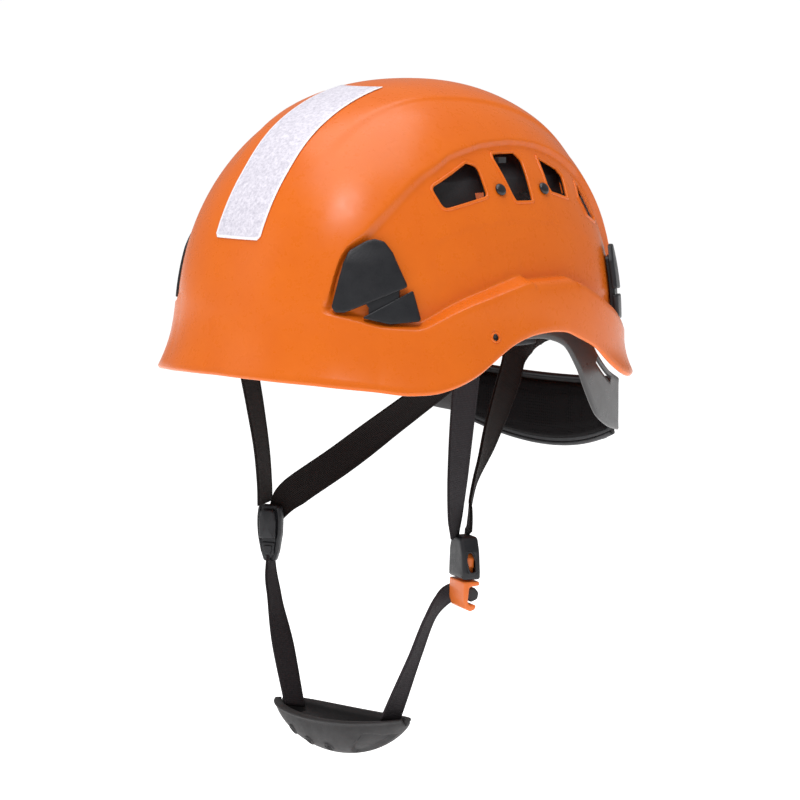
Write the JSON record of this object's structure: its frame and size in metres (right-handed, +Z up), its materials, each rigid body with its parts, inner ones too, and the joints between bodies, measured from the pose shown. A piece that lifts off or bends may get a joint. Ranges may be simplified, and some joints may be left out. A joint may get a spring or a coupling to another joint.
{
  "type": "arborist climbing helmet",
  "caption": "Vented hard-shell climbing helmet with webbing cradle, sliding vent shutters, dial nape adjuster and a side-release chin strap.",
  "frame": {"origin": "centre of the head's seat, level with the middle of the shell's rim band, on the plane of symmetry of the shell", "axes": "-Y is the way the wearer looks, +X the wearer's left, +Z up"},
  "size_m": [0.2166, 0.2709, 0.3628],
  "materials": {
    "shell": "satin moulded ABS",
    "reflective": "retroreflective film",
    "clip_black": "fine-textured nylon",
    "pin_black": "satin",
    "webbing": "woven polyester",
    "padding": "brushed foam-backed fabric",
    "arm_grey": "satin polyethylene",
    "buckle_orange": "satin acetal",
    "cup_rubber": "matt"
  },
  "bodies": {
    "helmet": {"shell": "shell", "reflective_strip": "reflective", "headlamp_clip_front_left": "clip_black", "headlamp_clip_front_right": "clip_black", "headlamp_clip_rear_left": "clip_black", "headlamp_clip_rear_right": "clip_black", "headband": "clip_black", "buckle_housing": "clip_black", "strap_slider": "clip_black", "strap_slider_gate": "clip_black", "front_strap_anchor_left": "clip_black", "front_strap_anchor_right": "clip_black", "rear_strap_anchor": "clip_black", "shutter_pin_1_left": "pin_black", "shutter_pin_1_right": "pin_black", "shutter_pin_2_left": "pin_black", "shutter_pin_2_right": "pin_black", "cradle_anchor_front_rear_1": "clip_black", "cradle_anchor_front_rear_2": "clip_black", "cradle_anchor_diagonal_left_1": "clip_black", "cradle_anchor_diagonal_left_2": "clip_black", "cradle_anchor_diagonal_right_1": "clip_black", "cradle_anchor_diagonal_right_2": "clip_black", "crown_strap_front_rear": "webbing", "crown_strap_diagonal_left": "webbing", "crown_strap_diagonal_right": "webbing", "front_strap_left": "webbing", "front_strap_right": "webbing", "rear_strap_left": "webbing", "rear_strap_right": "webbing", "rear_strap_centre": "webbing", "brow_pad": "padding"},
    "vent_shutter_left": {"vent_shutter_left": "clip_black"},
    "vent_shutter_right": {"vent_shutter_right": "clip_black"},
    "nape_arms": {"nape_arm_left": "arm_grey", "nape_arm_right": "arm_grey"},
    "nape_cradle": {"nape_frame": "clip_black", "nape_cover": "clip_black", "nape_pad": "padding"},
    "nape_knob": {"nape_knob": "clip_black", "nape_pinion": "clip_black"},
    "nape_rack_left": {"nape_rack_left": "clip_black"},
    "nape_rack_right": {"nape_rack_right": "clip_black"},
    "chin_strap": {"chin_cup": "cup_rubber", "lower_strap_left": "webbing", "lower_strap_right": "webbing", "buckle_plug": "buckle_orange", "webbing_bar": "clip_black"},
    "buckle_prong_outer": {"buckle_prong_outer": "buckle_orange"},
    "buckle_prong_inner": {"buckle_prong_inner": "buckle_orange"}
  },
  "joints": [
    {"name": "shutter_left_slide", "type": "hinge", "parent": "helmet", "child": "vent_shutter_left", "pos_m": [-0.096, 0, 0.08], "axis": [0, 0, 1], "range_deg": [0, 2.3]},
    {"name": "shutter_right_slide", "type": "hinge", "parent": "helmet", "child": "vent_shutter_right", "pos_m": [0.096, 0, 0.08], "axis": [0, 0, -1], "range_deg": [0, 2.3]},
    {"name": "nape_tilt", "type": "hinge", "parent": "helmet", "child": "nape_arms", "pos_m": [0, 0.012, 0.006], "axis": [1, 0, 0], "range_deg": [-10, 3]},
    {"name": "nape_size", "type": "slide", "parent": "nape_arms", "child": "nape_cradle", "axis": [0, -1, 0], "range_m": [0, 0.012]},
    {"name": "nape_dial", "type": "hinge", "parent": "nape_cradle", "child": "nape_knob", "pos_m": [0, 0.119, -0.056], "axis": [0, -1, 0], "range_deg": [0, 125.1]},
    {"name": "rack_left_slide", "type": "slide", "parent": "nape_cradle", "child": "nape_rack_left", "axis": [-1, 0, 0], "range_m": [0, 0.0121]},
    {"name": "rack_right_slide", "type": "slide", "parent": "nape_cradle", "child": "nape_rack_right", "axis": [1, 0, 0], "range_m": [0, 0.0121]},
    {"name": "chin_release", "type": "hinge", "parent": "helmet", "child": "chin_strap", "pos_m": [-0.0757, -0.0295, -0.1355], "axis": [0, 1, 0], "range_deg": [0, 60]},
    {"name": "prong_outer_press", "type": "hinge", "parent": "chin_strap", "child": "buckle_prong_outer", "pos_m": [0.08063, -0.0317, -0.1277], "axis": [-0.4067, -0.9135, 0], "range_deg": [0, 4], "stiffness_Nm_per_rad": 0.05},
    {"name": "prong_inner_press", "type": "hinge", "parent": "chin_strap", "child": "buckle_prong_inner", "pos_m": [0.07077, -0.0273, -0.1277], "axis": [0.4067, 0.9135, 0], "range_deg": [0, 4], "stiffness_Nm_per_rad": 0.05}
  ],
  "couplings": [
    {"joint": "nape_dial", "follows": "nape_size", "rad_per_m": 181.82},
    {"joint": "rack_left_slide", "follows": "nape_size", "ratio": 1},
    {"joint": "rack_right_slide", "follows": "nape_size", "ratio": 1}
  ]
}
